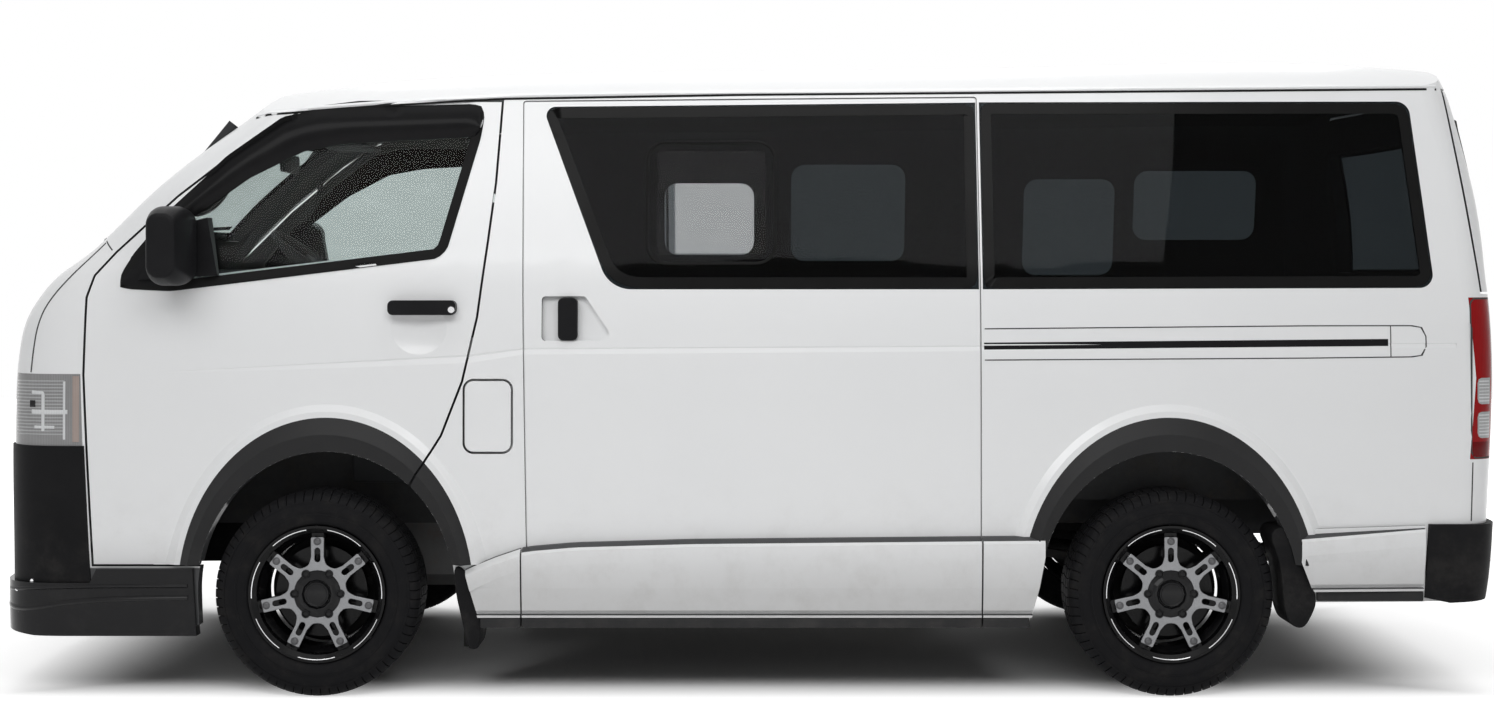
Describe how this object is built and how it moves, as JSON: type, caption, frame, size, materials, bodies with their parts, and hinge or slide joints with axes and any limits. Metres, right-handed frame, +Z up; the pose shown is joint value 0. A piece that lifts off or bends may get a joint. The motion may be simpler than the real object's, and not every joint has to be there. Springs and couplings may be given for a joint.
{
  "type": "panel van",
  "caption": "Long low-roof panel van with a short sloped nose, sliding side doors, a lift-up tailgate, black arch flares and bumpers, and alloy wheels.",
  "frame": {"origin": "on the ground, midway along the overall length and width", "axes": "-X to the front of the van, -Y to its left side, +Z up"},
  "size_m": [4.649, 2.132, 1.9784],
  "materials": {
    "body_paint": "glossy white paint",
    "black_trim": "satin black moulded plastic",
    "gloss_black": "gloss black",
    "glass_clear": "clear",
    "glass_privacy": "dark privacy tint",
    "lamp_clear": "clear ribbed lens",
    "lamp_red": "red lens",
    "tyre_rubber": "matt",
    "rubber": "matt",
    "alloy": "machined face, black pockets",
    "chassis_metal": "black chassis paint",
    "floor_metal": "primer grey",
    "iron": "bare",
    "exhaust_steel": "dull",
    "seat_cloth": "woven grey",
    "dash_plastic": "grained dark grey"
  },
  "bodies": {
    "body": {"body_shell": "body_paint", "floor_pan": "floor_metal", "windscreen": "glass_clear", "side_glass": "glass_privacy", "left_sliding_door": "body_paint", "right_sliding_door": "body_paint", "sliding_door_handles": "black_trim", "front_bumper": "black_trim", "front_lip": "gloss_black", "rear_bumper": "black_trim", "grille": "black_trim", "headlights": "lamp_clear", "tail_lights": "lamp_red", "arch_flares": "black_trim", "mudflaps": "rubber", "front_crossmember": "chassis_metal", "rear_axle": "chassis_metal", "engine": "iron", "drive_shaft": "chassis_metal", "fuel_tank": "chassis_metal", "exhaust": "exhaust_steel", "front_seats": "seat_cloth", "dashboard": "dash_plastic", "steering_wheel": "dash_plastic"},
    "tailgate_body": {"tailgate": "body_paint", "tailgate_glass": "glass_privacy"},
    "hood_body": {"hood": "body_paint"},
    "fuel_flap_body": {"fuel_flap": "body_paint"},
    "front_left_door_body": {"front_left_door": "body_paint", "front_left_glass": "glass_clear", "front_left_mirror": "black_trim", "front_left_handle": "black_trim", "front_left_flare": "black_trim"},
    "front_left_knuckle_body": {"front_left_knuckle": "chassis_metal"},
    "front_left_wheel_body": {"front_left_wheel": "alloy", "front_left_tyre": "tyre_rubber"},
    "rear_left_wheel_body": {"rear_left_wheel": "alloy", "rear_left_tyre": "tyre_rubber"},
    "front_right_door_body": {"front_right_door": "body_paint", "front_right_glass": "glass_clear", "front_right_mirror": "black_trim", "front_right_handle": "black_trim", "front_right_flare": "black_trim"},
    "front_right_knuckle_body": {"front_right_knuckle": "chassis_metal"},
    "front_right_wheel_body": {"front_right_wheel": "alloy", "front_right_tyre": "tyre_rubber"},
    "rear_right_wheel_body": {"rear_right_wheel": "alloy", "rear_right_tyre": "tyre_rubber"}
  },
  "joints": [
    {"name": "front_left_steer", "type": "hinge", "parent": "body", "child": "front_left_knuckle_body", "pos_m": [-1.285, -0.6925, 0.31], "axis": [0, 0, 1], "range_deg": [-35, 35]},
    {"name": "front_left_spin", "type": "hinge", "parent": "front_left_knuckle_body", "child": "front_left_wheel_body", "pos_m": [-1.285, -0.7625, 0.31], "axis": [0, 1, 0], "continuous": true},
    {"name": "rear_left_spin", "type": "hinge", "parent": "body", "child": "rear_left_wheel_body", "pos_m": [1.285, -0.7625, 0.31], "axis": [0, 1, 0], "continuous": true},
    {"name": "front_left_door_hinge", "type": "hinge", "parent": "body", "child": "front_left_door_body", "pos_m": [-1.987, -0.85, 1], "axis": [0, 0, -1], "range_deg": [0, 65]},
    {"name": "front_right_steer", "type": "hinge", "parent": "body", "child": "front_right_knuckle_body", "pos_m": [-1.285, 0.6925, 0.31], "axis": [0, 0, 1], "range_deg": [-35, 35]},
    {"name": "front_right_spin", "type": "hinge", "parent": "front_right_knuckle_body", "child": "front_right_wheel_body", "pos_m": [-1.285, 0.7625, 0.31], "axis": [0, 1, 0], "continuous": true},
    {"name": "rear_right_spin", "type": "hinge", "parent": "body", "child": "rear_right_wheel_body", "pos_m": [1.285, 0.7625, 0.31], "axis": [0, 1, 0], "continuous": true},
    {"name": "front_right_door_hinge", "type": "hinge", "parent": "body", "child": "front_right_door_body", "pos_m": [-1.987, 0.85, 1], "axis": [0, 0, 1], "range_deg": [0, 65]},
    {"name": "tailgate_hinge", "type": "hinge", "parent": "body", "child": "tailgate_body", "pos_m": [2.242, 0, 1.845], "axis": [0, -1, 0], "range_deg": [0, 85]},
    {"name": "hood_hinge", "type": "hinge", "parent": "body", "child": "hood_body", "pos_m": [-2.126, 0, 1.316], "axis": [0, 1, 0], "range_deg": [0, 50]},
    {"name": "fuel_flap_hinge", "type": "hinge", "parent": "body", "child": "fuel_flap_body", "pos_m": [-0.842, -0.85, 0.845], "axis": [0, 0, -1], "range_deg": [0, 80]}
  ],
  "couplings": [
    {"joint": "front_right_steer", "follows": "front_left_steer", "ratio": 1}
  ]
}
